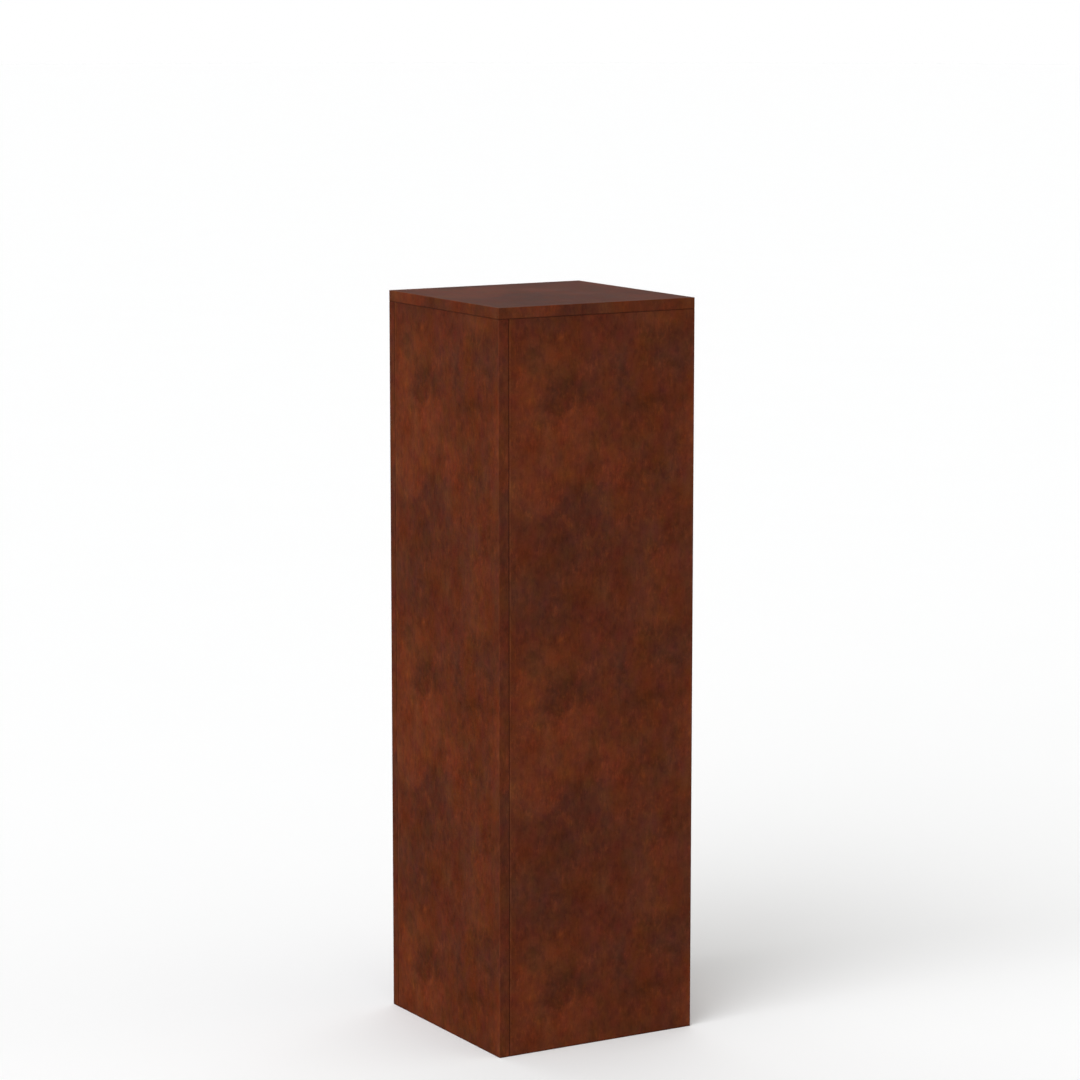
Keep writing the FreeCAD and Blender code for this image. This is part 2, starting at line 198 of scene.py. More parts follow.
def bump(g, bsdf, height, distance, strength=1.0, previous=None):
    n = g.new("ShaderNodeBump")
    n.inputs["Strength"].default_value = strength
    n.inputs["Distance"].default_value = distance
    g.put(n.inputs["Height"], height)
    if previous is not None:
        g.put(n.inputs["Normal"], previous)
    g.put(bsdf.inputs["Normal"], n.outputs[0])
    return n.outputs[0]


def new_group(name, inputs, outputs):
    t = bpy.data.node_groups.new(name, "ShaderNodeTree")
    for n, kind in inputs:
        t.interface.new_socket(n, in_out="INPUT", socket_type=kind)
    for n, kind in outputs:
        t.interface.new_socket(n, in_out="OUTPUT", socket_type=kind)
    g = Graph(t)
    return t, g, g.new("NodeGroupInput").outputs, g.new("NodeGroupOutput").inputs


# ---------------------------------------------------------------- the printed decor
# A cloudy rust-brown print. Its large clouds are listed: (across, down the repeat, half width, half height, weight), in
# millimetres.
GLOW = [(38, 115, 30, 24, 1.15), (108, 162, 32, 26, 0.95), (178, 216, 17, 28, 0.9), (96, 212, 32, 24, 0.6), (30, 228, 28, 20, 0.85),
        (240, 18, 22, 15, 0.6), (80, 58, 20, 18, 0.65), (46, 257, 26, 18, 0.5), (250, 360, 24, 13, 0.55), (297, 165, 10, 42, 1.0),
        (52, 172, 22, 22, 0.45), (190, 290, 12, 20, 0.45), (58, 204, 20, 14, 0.35), (284, 250, 12, 16, 0.35), (160, 112, 10, 10, 0.35)]
DARK = [(96, 106, 33, 10, 1.05), (84, 131, 20, 8, 0.85), (226, 134, 30, 12, 0.75), (274, 90, 15, 14, 0.5), (40, 70, 9, 10, 0.6),
        (230, 220, 16, 20, 0.55), (166, 38, 14, 12, 0.2), (262, 312, 11, 20, 0.5), (112, 328, 38, 30, 0.5), (190, 372, 20, 9, 0.35),
        (130, 250, 13, 26, 0.5), (262, 48, 30, 12, 0.3), (26, 344, 12, 18, 0.3), (206, 268, 9, 12, 0.4),
        (240, 70, 30, 13, 0.35), (112, 390, 30, 16, 0.3)]
PLUM = [(68, 14, 20, 26, 0.9), (192, 82, 9, 32, 0.8), (78, 200, 14, 10, 0.6), (112, 270, 26, 20, 0.6), (76, 302, 24, 38, 0.9), (176, 304, 26, 22, 0.8),
        (58, 372, 16, 28, 0.8), (186, 358, 26, 12, 0.5), (106, 18, 26, 24, 0.45), (262, 220, 18, 26, 0.4), (14, 158, 10, 20, 0.4)]


def decor_group():
    t, g, i, o = new_group("decor_print", [("Place", "NodeSocketVector"), ("Seed", "NodeSocketFloat")],
                           [("Color", "NodeSocketColor"), ("Height", "NodeSocketFloat"), ("Rough", "NodeSocketFloat")])
    u, v, _ = g.split(i["Place"])
    # rolled on a cylinder of the repeat's length, so that every noise repeats with it
    angle = g.math("MULTIPLY", v, 2 * math.pi / REPEAT)
    r = REPEAT / (2 * math.pi)
    roll = g.join(u, g.math("MULTIPLY", g.math("COSINE", angle), r), g.math("MULTIPLY", g.math("SINE", angle), r))
    wide = g.vec("SUBTRACT", g.noise(roll, 24.0, 2.0, 0.55, colour=True), (0.5, 0.5, 0.5))
    fine = g.vec("SUBTRACT", g.noise(g.vec("ADD", roll, (0.7, 0.3, 0.1)), 85.0, 3.0, 0.6, colour=True), (0.5, 0.5, 0.5))
    tiny = g.vec("SUBTRACT", g.noise(g.vec("ADD", roll, (0.2, 0.9, 0.4)), 300.0, 3.0, 0.7, colour=True), (0.5, 0.5, 0.5))
    shift = g.vec("ADD", g.vec("ADD", g.scale(wide, 0.052), g.scale(fine, 0.040)), g.scale(tiny, 0.012))
    su, sv, _ = g.split(shift)
    place = g.join(g.math("ADD", u, su), g.math("ADD", v, sv), 0.0)

    def clouds(spots):
        total = None
        for x, y, rx, ry, weight in spots:
            d = g.vec("SUBTRACT", place, (x / 1000, y / 1000, 0.0))
            d = g.vec("WRAP", d, (9.0, REPEAT / 2, 9.0), (-9.0, -REPEAT / 2, -9.0))
            d = g.vec("MULTIPLY", d, (850.0 / rx, 850.0 / ry, 0.0))
            e = g.math("EXPONENT", g.math("MULTIPLY", g.dot(d, d), -1.0))
            total = g.math("MULTIPLY", e, weight) if total is None else g.math("MULTIPLY_ADD", e, weight, total)
        return total

    def field(stretch, scale, detail, rough, offset, seeded=0.0, distort=0.0):
        """Noise about 0, drawn out up the board by the stretch."""
        at = g.vec("MULTIPLY_ADD", roll, (stretch, 1.0, 1.0), (offset, 0.0, 0.0))
        if seeded:
            at = g.vec("ADD", at, g.join(g.math("MULTIPLY", i["Seed"], seeded), 0.0, 0.0))
        return g.math("SUBTRACT", g.noise(at, scale, detail, rough, distort), 0.5)

    def total(*terms):
        out = None
        for value, k in terms:
            out = g.math("MULTIPLY", value, k) if out is None else g.math("MULTIPLY_ADD", value, k, out)
        return out

    glow, dark, plum = clouds(GLOW), clouds(DARK), clouds(PLUM)
    mottle = field(1.2, 27.0, 8.0, 0.84, 3.1)
    dab = field(1.5, 52.0, 5.0, 0.70, 6.4)
    grit = field(1.5, 150.0, 4.0, 0.75, 8.3)
    streak = field(8.0, 55.0, 4.0, 0.62, 0.0, 1.7, 0.25)  # short brushed strokes that run up the board
    hair = field(26.0, 95.0, 2.0, 0.5, 1.9, 2.3)
    speck = field(1.0, 520.0, 2.0, 0.6, 4.7, 1.0)
    dust = field(1.6, 1500.0, 2.0, 0.6, 3.3, 1.3)
    cool = field(1.5, 14.0, 5.0, 0.66, 5.7)
    red = field(1.5, 30.0, 4.0, 0.66, 7.9)
    # dabs with crisp edges, crowded in some places and nearly absent in others
    busy = g.remap(field(1.0, 30.0, 3.0, 0.6, 2.2), -0.10, 0.12)
    pale_dab = g.math("MULTIPLY", g.remap(field(2.6, 105.0, 3.0, 0.55, 9.4, 0.0, 0.5), 0.04, 0.09), busy)
    dark_dab = g.math("MULTIPLY", g.remap(field(2.0, 72.0, 4.0, 0.6, 12.9, 0.0, 0.4), 0.045, 0.11), g.math("SUBTRACT", 1.15, busy))
    dab = g.math("MULTIPLY", dab, g.math("MULTIPLY_ADD", busy, 0.7, 0.65))
    # how light the print is, how much it turns from orange to purple, and how much from olive to red
    light = total((glow, 14.0), (dark, -15.0), (plum, -6.5), (mottle, 40.0), (dab, 46.0), (streak, 13.0), (grit, 14.0), (hair, 5.0), (speck, 6.0), (dust, 9.0),
                  (pale_dab, 9.0), (dark_dab, -6.5))
    turn = total((plum, 4.2), (glow, -1.8), (cool, 36.0), (dab, -2.0), (pale_dab, -1.2), (dark_dab, 0.5))
    olive = total((dark, -2.0), (red, 18.0), (glow, -0.3), (pale_dab, 0.8))
    c = g.vec("MULTIPLY_ADD", g.join(light, light, light), (0.88, 0.49, 0.21), PRINT)
    c = g.vec("MULTIPLY_ADD", g.join(turn, turn, turn), (-0.36, 0.37, 0.86), c)
    c = g.vec("MULTIPLY_ADD", g.join(olive, olive, olive), (0.31, -0.82, 0.48), c)
    # from the display scale to reflectance
    c = g.vec("MAXIMUM", c, (44.0, 20.0, 9.0))
    c = g.vec("MULTIPLY_ADD", c, (1 / 269.025,) * 3, (0.055 / 1.055,) * 3)
    gamma = g.new("ShaderNodeGamma")
    g.put(gamma.inputs[0], c)
    gamma.inputs[1].default_value = 2.4
    c = g.vec("MULTIPLY_ADD", gamma.outputs[0], (1 / LIT,) * 3, (-VEIL / LIT,) * 3)
    g.put(o["Color"], g.vec("MAXIMUM", c, (0.0015, 0.0015, 0.0012)))
    g.put(o["Height"], total((streak, 0.7), (hair, 0.9), (dab, 0.5)))
    g.put(o["Rough"], total((streak, 0.5), (mottle, 0.4), (dab, 0.4)))
    return t


def chipboard_group():
    t, g, i, o = new_group("chipboard", [("Place", "NodeSocketVector")], [("Color", "NodeSocketColor"), ("Height", "NodeSocketFloat")])
    p = i["Place"]
    bent = g.vec("ADD", p, g.scale(g.vec("SUBTRACT", g.noise(p, 300.0, 2.0, colour=True), (0.5, 0.5, 0.5)), 0.002))
    chip = g.cells(g.vec("MULTIPLY", bent, (1.0, 1.0, 2.2)), 330.0, out="Color")
    hue, light, _ = g.split(chip)
    dust = g.noise(p, 1500.0, 2.0)
    colour = g.ramp(light, [(0.0, rgb(126, 98, 64)), (0.35, rgb(168, 138, 98)), (0.7, rgb(192, 165, 124)), (1.0, rgb(214, 192, 154))])
    colour = g.mix(g.math("MULTIPLY", g.remap(hue, 0.86, 0.97), 0.7), colour, rgb(92, 62, 36))
    colour = g.mix(g.math("MULTIPLY", dust, 0.22), colour, rgb(228, 206, 168))
    g.put(o["Color"], colour)
    g.put(o["Height"], g.math("ADD", g.math("MULTIPLY", light, 0.6), g.math("MULTIPLY", dust, 0.4)))
    return t


DECOR, CHIPBOARD = decor_group(), chipboard_group()


GLOSS = 0.12  # specular level of the printed melamine


def line(g, coordinate, plane, width):
    """1 along the line where the coordinate meets the plane, fading to 0 at the width."""
    return g.remap(g.math("ABSOLUTE", g.math("SUBTRACT", coordinate, plane)), width, width * 0.25)


def decor_surface(g, decor, place, wear_highlight_edges=(), dark_joints_and_shade=(), darker=0.0, floor_shade_z=None):
    """A printed face: arrises lightened by wear and by a painted highlight, dark lines that are partly glue line and
    partly painted shade in the joint grooves, a painted contact shadow along the floor edge, painted shade near the
    floor, gloss and the pressed matt texture.
    The lists of lightened arrises and of dark lines hold (coordinate, plane, width, strength). Returns colour,
    roughness and height in tenths of a millimetre."""
    colour = decor["Color"]
    if darker:
        colour = g.mix(darker, colour, seen(58, 27, 17))
    # noise patches that break up the lightened arrises and the painted shade near the floor
    patchy_mask = g.remap(g.noise(place, 90.0, 4.0, 0.65), 0.30, 0.66)
    wear_and_highlight = 0.0
    for coordinate, plane, width, strength in wear_highlight_edges:
        k = g.math("MULTIPLY", line(g, coordinate, plane, width), g.math("MULTIPLY", patchy_mask, strength))
        wear_and_highlight = k if wear_and_highlight == 0.0 else g.math("MAXIMUM", wear_and_highlight, k)
    # lightened arrises: wear plus a painted highlight where the eased edges would catch the light
    if wear_highlight_edges:
        colour = g.mix(wear_and_highlight, colour, seen(136, 78, 50))
    # dark lines: partly glue line, partly painted shade in the joint grooves; the line along the floor edge is a
    # painted contact shadow
    for coordinate, plane, width, strength in dark_joints_and_shade:
        colour = g.mix(g.math("MULTIPLY", line(g, coordinate, plane, width), strength), colour, seen(34, 16, 11))
    # painted shade near the floor: darker in patches over the lowest 30 mm
    if floor_shade_z is not None:
        floor_shade_mask = g.math("MULTIPLY", g.remap(floor_shade_z, 0.030, 0.001), patchy_mask)
        colour = g.mix(g.math("MULTIPLY", floor_shade_mask, 0.16), colour, seen(60, 34, 24))
    rough = g.math("MULTIPLY_ADD", decor["Rough"], 0.16, 0.46)
    smudge = g.remap(g.noise(place, 9.0, 3.0, 0.6), 0.52, 0.74)
    rough = g.math("MULTIPLY_ADD", smudge, -0.045, rough)
    rough = g.math("MULTIPLY_ADD", wear_and_highlight, -0.10, rough)
    pearl = g.noise(place, 1900.0, 2.0, 0.5)
    return colour, rough, g.math("MULTIPLY_ADD", decor["Height"], 0.8, g.math("MULTIPLY", pearl, 0.3))


def board_core(g, p, depth, inner):
    """The hidden side of a board: the backing sheet on its inner face and chipboard on its cut edges."""
    chip = g.group(CHIPBOARD, Place=p)
    back = g.remap(g.math("ABSOLUTE", g.math("SUBTRACT", depth, inner)), 0.0005, 0.0003)
    paper = g.mix(g.math("MULTIPLY", g.noise(p, 60.0, 5.0, 0.7), 0.5), rgb(150, 138, 120), rgb(120, 108, 92))
    colour = g.mix(back, chip["Color"], paper)
    rough = g.math("MULTIPLY_ADD", g.noise(p, 400.0), 0.1, g.math("MULTIPLY_ADD", back, -0.25, 0.78))
    height = g.math("MULTIPLY", chip["Height"], g.math("MULTIPLY_ADD", back, -2.1, 2.5))
    return colour, rough, height


def one_board(g, bsdf, front, core, is_core, gloss=0.12):
    """Both sides of a board on one shader."""
    def blend(a, b):
        return g.math("MULTIPLY_ADD", g.math("SUBTRACT", b, a), is_core, a)

    g.put(bsdf.inputs["Base Color"], g.mix(is_core, front[0], core[0]))
    g.put(bsdf.inputs["Roughness"], blend(front[1], core[1]))
    bsdf.inputs["Specular IOR Level"].default_value = gloss
    bump(g, bsdf, blend(front[2], core[2]), 0.0001)


def wall_material(node, degrees, seed):
    """A wall board: decor outside, a plain backing sheet inside, chipboard between. degrees turns it on to the front wall."""
    m, g, bsdf = material("decor_" + node)
    p = g.turned(g.place(), degrees)
    x, y, z = g.split(p)
    decor = g.group(DECOR, Place=g.join(g.math("ADD", x, HALF), g.math("SUBTRACT", HEIGHT, z), 0.0), Seed=seed)
    # the lightened line just inside the left joint is a painted highlight on the arris; the dark lines are joints with
    # painted groove shade, and at the floor edge a painted contact shadow
    front = decor_surface(g, decor, p, floor_shade_z=z,
                          wear_highlight_edges=[(x, -HALF + BOARD + 0.0018, 0.0016, 0.16), (z, 0.0, 0.0012, 0.10)],
                          dark_joints_and_shade=[(x, -HALF + BOARD, 0.0011, 0.50), (z, HEIGHT - BOARD, 0.0013, 0.30), (z, 0.0, 0.0022, 0.40)])
    one_board(g, bsdf, front, board_core(g, p, y, -HALF + BOARD), g.math("GREATER_THAN", y, -HALF + 0.00085))
    return m


def top_material():
    m, g, bsdf = material("decor_top_panel")
    p = g.place()
    x, y, z = g.split(p)
    decor = g.group(DECOR, Place=g.join(g.math("ADD", x, HALF), g.math("SUBTRACT", 0.26, y), 0.0), Seed=9.0)
    rim = HALF - 0.0009
    # the lightened rim is a painted highlight on the eased arrises, with some wear
    front = decor_surface(g, decor, p, wear_highlight_edges=[(x, -rim, 0.0012, 0.3), (x, rim, 0.0012, 0.3), (y, -rim, 0.0012, 0.3), (y, rim, 0.0012, 0.3)])
    one_board(g, bsdf, front, board_core(g, p, z, HEIGHT - BOARD), g.math("LESS_THAN", z, HEIGHT - 0.00085), 0.21)
    return m


def band_material(node, degrees, seed, upright):
    """An edge band: a strip of the same print, with a milled and slightly polished arris that also carries a painted
    highlight.
    """
    m, g, bsdf = material("band_" + node)
    p = g.turned(g.place(), degrees)
    x, y, z = g.split(p)
    if upright:  # seen from +X in the turned frame; the strip is BOARD wide along Y
        place = g.join(g.math("ADD", y, HALF + 0.1435), g.math("SUBTRACT", HEIGHT, z), 0.0)
    else:  # seen from -Y in the turned frame; the strip is BOARD wide along Z
        place = g.join(g.math("ADD", x, HALF), g.math("SUBTRACT", HEIGHT + (0.256 if node == "top_edge_band_front" else 0.240), z), 0.0)
    decor = g.group(DECOR, Place=place, Seed=seed)
    # upright bands: painted highlight with wear on the corner arris, joint lines with painted groove shade, a painted
    # contact shadow along the floor edge and painted shade near the floor; top bands: painted highlight with wear on
    # the top arris and painted shade in the joint under it
    if upright:
        surface = decor_surface(g, decor, p, darker=0.03, floor_shade_z=z, wear_highlight_edges=[(y, -HALF, 0.0012, 0.10)],
                                dark_joints_and_shade=[(y, -HALF + BOARD, 0.0013, 0.50), (z, HEIGHT - BOARD, 0.0013, 0.30), (z, 0.0, 0.0022, 0.40)])
    else:
        surface = decor_surface(g, decor, p, darker=0.06, wear_highlight_edges=[(z, HEIGHT, 0.0012, 0.16)], dark_joints_and_shade=[(z, HEIGHT - BOARD, 0.0015, 0.32)])
    g.put(bsdf.inputs["Base Color"], surface[0])
    g.put(bsdf.inputs["Roughness"], surface[1])
    bsdf.inputs["Specular IOR Level"].default_value = GLOSS
    bump(g, bsdf, surface[2], 0.0001)
    return m


def raw_board_material(node):
    m, g, bsdf = material("chipboard_" + node)
    p = g.place()
    _, _, z = g.split(p)
    low, high = (c.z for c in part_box(node))
    chip = g.group(CHIPBOARD, Place=p)
    face = g.remap(g.math("MINIMUM", g.math("SUBTRACT", z, low), g.math("SUBTRACT", high, z)), 0.0012, 0.0002)
    sanded = g.noise(p, 700.0, 4.0, 0.7)
    smooth = g.mix(g.math("MULTIPLY", sanded, 0.55), rgb(178, 150, 112), rgb(206, 182, 142))
    g.put(bsdf.inputs["Base Color"], g.mix(g.math("MULTIPLY", face, 0.55), chip["Color"], smooth))
    g.put(bsdf.inputs["Roughness"], g.math("MULTIPLY_ADD", sanded, 0.12, 0.74))
    bsdf.inputs["Specular IOR Level"].default_value = 0.3
    bump(g, bsdf, g.math("ADD", chip["Height"], g.math("MULTIPLY", sanded, 0.5)), 0.0002)
    return m


def metal_material(name, tone, dark, rough, scratch=(1.0, 1.0, 1.0), tint=None):
    """Plated or die-cast metal: cloudy plating, fine scratches, darker where grease and dust stay."""
    m, g, bsdf = material(name)
    p = g.place()
    cloud = g.noise(p, 160.0, 5.0, 0.65)
    colour = g.mix(g.remap(cloud, 0.35, 0.7), rgb(*dark), rgb(*tone))
    if tint:
        colour = g.mix(g.math("MULTIPLY", g.remap(g.noise(p, 95.0, 3.0), 0.45, 0.7), 0.35), colour, rgb(*tint))
    g.put(bsdf.inputs["Base Color"], colour)
    bsdf.inputs["Metallic"].default_value = 1.0
    lines = g.noise(g.vec("MULTIPLY", p, scratch), 900.0, 3.0, 0.6)
    g.put(bsdf.inputs["Roughness"], g.math("MULTIPLY_ADD", lines, 0.22, g.math("MULTIPLY_ADD", cloud, 0.10, rough - 0.14)))
    bump(g, bsdf, lines, 0.00003)
    return m


def dowel_material(node, axis):
    """Turned beech: pale, with fine flecks drawn out along the dowel."""
    m, g, bsdf = material("beech_" + node)
    p = g.place()
    squeeze = [1.0, 1.0, 1.0]
    for a in axis:
        squeeze["xyz".index(a)] = 0.12
    q = g.vec("MULTIPLY", p, tuple(squeeze))
    grain = g.noise(q, 900.0, 4.0, 0.6, 0.4)
    fleck = g.remap(g.noise(g.vec("MULTIPLY", q, (2.0, 2.0, 2.0)), 1300.0, 2.0), 0.60, 0.70)
    colour = g.mix(grain, rgb(190, 150, 104), rgb(226, 194, 150))
    g.put(bsdf.inputs["Base Color"], g.mix(g.math("MULTIPLY", fleck, 0.4), colour, rgb(140, 98, 62)))
    g.put(bsdf.inputs["Roughness"], g.math("MULTIPLY_ADD", grain, 0.15, 0.55))
    bsdf.inputs["Specular IOR Level"].default_value = 0.35
    bump(g, bsdf, grain, 0.0001)
    return m


def plastic_material(name, tone, other, rough, grain=1400.0, depth=0.00005):
    m, g, bsdf = material(name)
    p = g.place()
    cloud = g.noise(p, 70.0, 4.0, 0.6)
    g.put(bsdf.inputs["Base Color"], g.mix(cloud, tone, other))
    tooth = g.noise(p, grain, 3.0, 0.6)
    g.put(bsdf.inputs["Roughness"], g.math("MULTIPLY_ADD", tooth, 0.16, g.math("MULTIPLY_ADD", cloud, 0.08, rough - 0.12)))
    bsdf.inputs["Specular IOR Level"].default_value = 0.35
    bump(g, bsdf, tooth, depth)
    return m


WALLS = {"front_panel": 0, "right_panel": -90, "rear_panel": 180, "left_panel": 90}
TOP_BANDS = {"top_edge_band_front": 0, "top_edge_band_right": -90, "top_edge_band_rear": 180, "top_edge_band_left": 90}
zinc = metal_material("cast_zinc", (176, 178, 180), (132, 134, 136), 0.46)
plated = metal_material("zinc_plate", (196, 198, 200), (150, 154, 158), 0.34, tint=(176, 186, 206))
yellow = metal_material("yellow_plate", (202, 182, 120), (158, 138, 88), 0.36, tint=(196, 160, 170))
cap = plastic_material("cap_brown", rgb(80, 39, 23), rgb(66, 32, 20), 0.52)
nylon = plastic_material("nylon_black", rgb(27, 27, 28), rgb(36, 36, 38), 0.50)
rubber = plastic_material("sole_rubber", rgb(44, 44, 45), rgb(58, 57, 56), 0.85, 600.0, 0.00012)

for name, obj in NODES.items():
    slot = SLOT_OF[name]
    if name in WALLS:
        mat = wall_material(name, WALLS[name], float(list(WALLS).index(name)))
    elif name == "top_panel":
        mat = top_material()
    elif name.startswith("top_edge_band"):
        mat = band_material(name, TOP_BANDS[name], 11.0 + list(TOP_BANDS).index(name), False)
    elif slot == "edge_band":
        wall = name.replace("panel_edge_band", "panel")
        mat = band_material(name, WALLS[wall], 5.0 + list(WALLS).index(wall), True)
    elif slot == "raw_board":
        mat = raw_board_material(name)
    elif slot == "cam_zinc":
        mat = zinc
    elif slot in ("bolt_steel", "screw_steel", "stud_steel"):
        mat = plated
    elif slot == "nut_steel":
        mat = yellow
    elif slot == "dowel_beech":
        mat = dowel_material(name, {"dowels_top": "z", "dowels_base": "y", "dowels_front_right_joint": "y", "dowels_brace": "xy"}.get(name, "x"))
    elif slot == "cap_plastic":
        mat = cap
    elif slot == "foot_plastic":
        mat = nylon
    elif slot == "sole_rubber":
        mat = rubber
    obj.data.materials.clear()
    obj.data.materials.append(mat)


# ---------------------------------------------------------------- threaded hardware
# The CAD fasteners are plain or grooved rods. These pieces stand for them with real helical threads, inside the same outlines.
class Turned:
    """Rings stacked along an axis into one closed body. A ring is a height and a radius, or a radius for each step round."""

    def __init__(self, steps):
        self.n, self.rings = steps, []

    def ring(self, z, r):
        self.rings.append((z, [r(2 * math.pi * k / self.n) if callable(r) else r for k in range(self.n)]))
        return self

    def thread(self, z0, z1, root, crest, pitch, flat, cuts):
        """Right-handed thread from z0 to z1, running out over half a pitch at both ends. flat is the crest's share of the pitch."""
        count = int(round((z1 - z0) / pitch * cuts))
        for i in range(count + 1):
            z = z0 + (z1 - z0) * i / count
            run = min(1.0, (z - z0) / (0.5 * pitch), (z1 - z) / (0.5 * pitch))

            def radius(a, z=z, run=run):
                t = (z / pitch - a / (2 * math.pi)) % 1.0
                wave = 1.0 - abs(2.0 * t - 1.0)
                rise = max(0.0, min(1.0, (wave - (1.0 - flat - 0.62)) / 0.62))
                return root + (crest - root) * rise * run

            self.ring(z, radius)
        return self

    def mesh(self, origin, axis, across, verts, faces):
        """Adds the body to the lists. Heights run along the axis from the origin, in millimetres."""
        third = axis.cross(across)
        base = len(verts)
        for z, radii in self.rings:
            for k, r in enumerate(radii):
                a = 2 * math.pi * k / self.n
                verts.append(origin + (axis * z + across * (r * math.cos(a)) + third * (r * math.sin(a))) / 1000.0)
        n, last = self.n, len(self.rings) - 1
        for i in range(last):
            for k in range(n):
                k2 = (k + 1) % n
                faces.append((base + i * n + k, base + i * n + k2, base + (i + 1) * n + k2, base + (i + 1) * n + k))
        faces.append(tuple(base + k for k in reversed(range(n))))
        faces.append(tuple(base + last * n + k for k in range(n)))


def hexagon(radius, most=99.0):
    """A hexagon's outline by angle, cut to a round of the given radius."""
    return lambda a: min(radius * math.cos(math.pi / 6) / math.cos(a % (math.pi / 3) - math.pi / 6), most)


def piece_from(name, verts, faces, body, mat, node):
    mesh = bpy.data.meshes.new(name)
    mesh.from_pydata([tuple(v) for v in verts], [], faces)
    mesh.polygons.foreach_set("use_smooth", [True] * len(mesh.polygons))
    mesh.set_sharp_from_angle(angle=math.radians(38))
    mesh.materials.append(mat)
    mesh.update()
    o = bpy.data.objects.new(name, mesh)
    bpy.context.scene.collection.objects.link(o)
    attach(o, body)
    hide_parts(node)
    return o


def solids_of(node):
    """The separate solids in a node's mesh: for each, the corners of its box, its long axis and the way its widest part lies along it."""
    mesh = NODES[node].data
    home = list(range(len(mesh.vertices)))

    def find(i):
        while home[i] != i:
            home[i] = home[home[i]]
            i = home[i]
        return i

    seen_at = {}
    for v in mesh.vertices:
        key = tuple(round(c * 1e6) for c in v.co)
        home[find(v.index)] = find(seen_at.setdefault(key, v.index))
    for e in mesh.edges:
        home[find(e.vertices[0])] = find(e.vertices[1])
    islands = {}
    for v in mesh.vertices:
        islands.setdefault(find(v.index), []).append(v.co.copy())
    out = []
    for points in islands.values():
        lo = Vector([min(p[i] for p in points) for i in range(3)])
        hi = Vector([max(p[i] for p in points) for i in range(3)])
        size, mid = hi - lo, (hi + lo) / 2
        i = max(range(3), key=lambda k: size[k])
        axis = Vector([1.0 if k == i else 0.0 for k in range(3)])
        radius = [(p - mid - axis * (p - mid).dot(axis)).length for p in points]
        widest = max(radius)
        along = [(p - mid).dot(axis) for p, r in zip(points, radius) if r > widest - 1e-4]
        axis = axis * (1.0 if sum(along) > 0 else -1.0)
        out.append((mid, axis, size[i]))
    return sorted(out, key=lambda s: tuple(round(c, 5) for c in s[0]))


def side_of(axis):
    return Vector((0.0, 0.0, 1.0)) if abs(axis.z) < 0.5 else Vector((1.0, 0.0, 0.0))


def stud_body(low, high):
    """M8 stud: ball end, neck, hexagon collar, thread. Heights are above the floor."""
    t, ball = Turned(36), low + 4.0
    for k in range(1, 9):
        a = math.radians(-90 + 139.4 * k / 8)
        t.ring(ball + 4.0 * math.sin(a), 4.0 * math.cos(a))
    collar = high - 36.8
    t.ring(collar, 2.6)
    for up in (0.0, 0.2, 0.4, 0.6):
        t.ring(collar + up, hexagon(7.5, 6.9 + up))
    t.ring(collar + 4.75, hexagon(7.5)).ring(collar + 5.0, hexagon(7.5, 7.2)).ring(collar + 5.0, 3.3)
    t.thread(collar + 5.0, high - 0.7, 3.27, 3.98, 1.25, 0.16, 10)
    return t.ring(high - 0.2, 3.0).ring(high, 2.7)


def screw_body():
    """Connecting screw from its tip up: coarse thread, plain body under the head, countersunk head with a hexagon socket."""
    t = Turned(24).ring(0.0, 0.7).ring(2.0, 2.3)
    t.thread(2.0, 34.0, 2.45, 3.38, 3.0, 0.02, 12)
    t.ring(36.6, 2.5).ring(36.9, 3.38).ring(46.5, 3.38).ring(49.5, 4.78).ring(49.85, 4.78).ring(50.0, 4.6)
    return t.ring(50.0, hexagon(2.5)).ring(49.8, hexagon(2.31)).ring(47.0, hexagon(2.31)).ring(46.6, 0.8)


def bolt_body():
    """Cam bolt from its head: neck, ribbed shank, flange and the thread for the mating board."""
    t = Turned(24).ring(2.6, 2.5).ring(2.9, 2.78).ring(4.9, 2.78).ring(5.2, 2.5).ring(5.2, 1.7).ring(5.4, 1.58).ring(7.9, 1.58).ring(8.1, 1.8)
    t.ring(8.1, 3.1).ring(8.4, 3.38)
    for i in range(5):
        g0 = 11.2 + 4.0 * i
        t.ring(g0 - 0.1, 3.38).ring(g0 + 0.15, 3.05).ring(g0 + 0.85, 3.05).ring(g0 + 1.1, 3.38)
    t.ring(32.0, 3.38).ring(32.0, 3.6).ring(32.2, 3.78).ring(33.8, 3.78).ring(34.0, 3.6).ring(34.0, 2.3)
    return t.thread(34.2, 44.3, 2.15, 2.98, 1.8, 0.04, 10).ring(45.0, 1.6)


for corner in ("front_left", "front_right", "rear_left", "rear_right"):
    node = "foot_stud_" + corner
    a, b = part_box(node)
    verts, faces = [], []
    stud_body(a.z * 1000, b.z * 1000).mesh(Vector(((a.x + b.x) / 2, (a.y + b.y) / 2, 0.0)), Vector((0.0, 0.0, 1.0)), Vector((1.0, 0.0, 0.0)), verts, faces)
    piece_from("threaded_stud_" + corner, verts, faces, "stud_" + corner, plated, node)

verts, faces = [], []
for mid, axis, long in solids_of("connecting_screws"):
    screw_body().mesh(mid - axis * (long / 2), axis, side_of(axis), verts, faces)
piece_from("threaded_connecting_screws", verts, faces, "cabinet", plated, "connecting_screws")

for node in ("cam_bolts_front_left_joint", "cam_bolts_front_right_joint", "cam_bolts_top", "cam_bolts_base"):
    verts, faces = [], []
    for mid, axis, long in solids_of(node):
        bolt_body().mesh(mid - axis * (long / 2 + 0.0026), axis, side_of(axis), verts, faces)
    piece_from("threaded_" + node, verts, faces, "cabinet", plated, node)

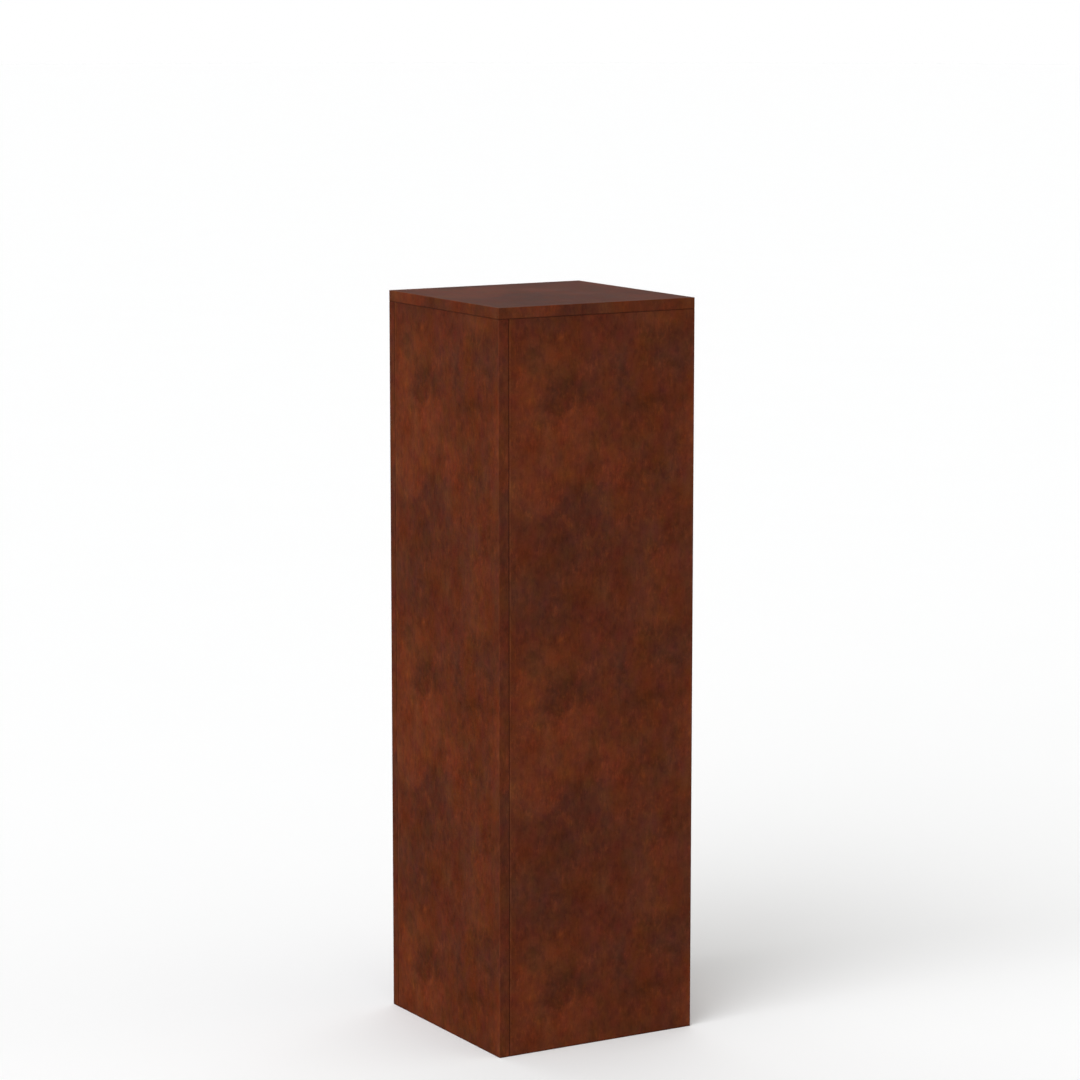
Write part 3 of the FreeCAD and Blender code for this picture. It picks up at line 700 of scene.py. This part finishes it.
# ---------------------------------------------------------------- stage
def disc(name, radius, z, segments=96):
    mesh = bpy.data.meshes.new(name)
    ring = [(radius * math.cos(2 * math.pi * k / segments), radius * math.sin(2 * math.pi * k / segments), z) for k in range(segments)]
    mesh.from_pydata(ring, [], [list(range(segments))])
    o = bpy.data.objects.new(name, mesh)
    bpy.context.scene.collection.objects.link(o)
    return o


floor = disc("floor", 45.0, 0.0)
floor.visible_glossy = False
fm, g, bsdf = material("floor_white")
g.put(bsdf.inputs["Base Color"], g.mix(g.noise(g.place(), 3.0, 3.0), (0.955, 0.955, 0.955, 1), (0.965, 0.965, 0.965, 1)))
bsdf.inputs["Roughness"].default_value = 0.9
bsdf.inputs["Specular IOR Level"].default_value = 0.0
floor.data.materials.append(fm)



def glow_material(name, strength):
    m = bpy.data.materials.new(name)
    m.use_nodes = True
    m.node_tree.nodes.clear()
    out = m.node_tree.nodes.new("ShaderNodeOutputMaterial")
    em = m.node_tree.nodes.new("ShaderNodeEmission")
    em.inputs[0].default_value = (1.0, 1.0, 1.0, 1.0)
    em.inputs[1].default_value = strength
    m.node_tree.links.new(em.outputs[0], out.inputs[0])
    return m


# what gloss sees below the horizon in place of the bright floor, so that the walls carry little haze
under = disc("floor_in_gloss", 45.0, -0.03)
under.data.materials.append(glow_material("floor_in_gloss", 0.05))
under.visible_camera = under.visible_diffuse = under.visible_transmission = under.visible_shadow = under.visible_volume_scatter = False

# a plain white surround for the camera only
dome_mesh = bpy.data.meshes.new("surround")
rings, segments, R = 12, 48, 46.0
verts, faces = [], []
for i in range(rings + 1):
    e = math.radians(-8 + 98 * i / rings)
    for k in range(segments):
        a = 2 * math.pi * k / segments
        verts.append((R * math.cos(e) * math.cos(a), R * math.cos(e) * math.sin(a), R * math.sin(e)))
for i in range(rings):
    for k in range(segments):
        k2 = (k + 1) % segments
        faces.append((i * segments + k, i * segments + k2, (i + 1) * segments + k2, (i + 1) * segments + k))
dome_mesh.from_pydata(verts, [], faces)
dome = bpy.data.objects.new("surround", dome_mesh)
bpy.context.scene.collection.objects.link(dome)
dome_mesh.materials.append(glow_material("surround_white", 1.0))
dome.visible_diffuse = dome.visible_glossy = dome.visible_transmission = dome.visible_shadow = dome.visible_volume_scatter = False

world = bpy.data.worlds.new("studio")
bpy.context.scene.world = world
world.use_nodes = True
world.node_tree.nodes["Background"].inputs[0].default_value = (1.0, 1.0, 1.0, 1.0)
world.node_tree.nodes["Background"].inputs[1].default_value = 0.26


def sun(name, towards, strength, angle, sheen=False, colour=(1.0, 1.0, 1.0)):
    light = bpy.data.lights.new(name, "SUN")
    light.energy = strength
    light.angle = math.radians(angle)
    light.color = colour
    o = bpy.data.objects.new(name, light)
    o.rotation_mode = "QUATERNION"
    o.rotation_quaternion = Vector(towards).to_track_quat("Z", "Y")
    o.visible_glossy = sheen
    bpy.context.scene.collection.objects.link(o)
    return o


sun("key", (-0.78, -0.42, 0.56), 1.7, 60, colour=(0.985, 1.0, 1.03))
sun("key_sheen", (-0.92, -0.20, 0.50), 0.8, 60, sheen=True)
sun("fill", (0.30, -0.75, 0.55), 0.45, 90, colour=(1.0, 0.97, 0.86))
sun("overhead", (0.05, 0.15, 1.0), 0.5, 120)
sun("back_fill", (0.35, 0.85, 0.45), 0.9, 90)

# ---------------------------------------------------------------- camera
camera = bpy.data.cameras.new("camera")
camera.sensor_width = 36.0
camera.lens = 3714.198 / 1080.0 * 36.0
camera.clip_end = 500.0
cam = bpy.data.objects.new("camera", camera)
bpy.context.scene.collection.objects.link(cam)
cam.location = (-2.511, -4.295, 1.452)
az, pitch = math.radians(30.30656), math.radians(8.98589)
cam.rotation_euler = (math.pi / 2 - pitch, 0.0, -az)
bpy.context.scene.camera = cam
bpy.context.scene.view_settings.view_transform = "Standard"
bpy.context.scene.view_settings.look = "None"
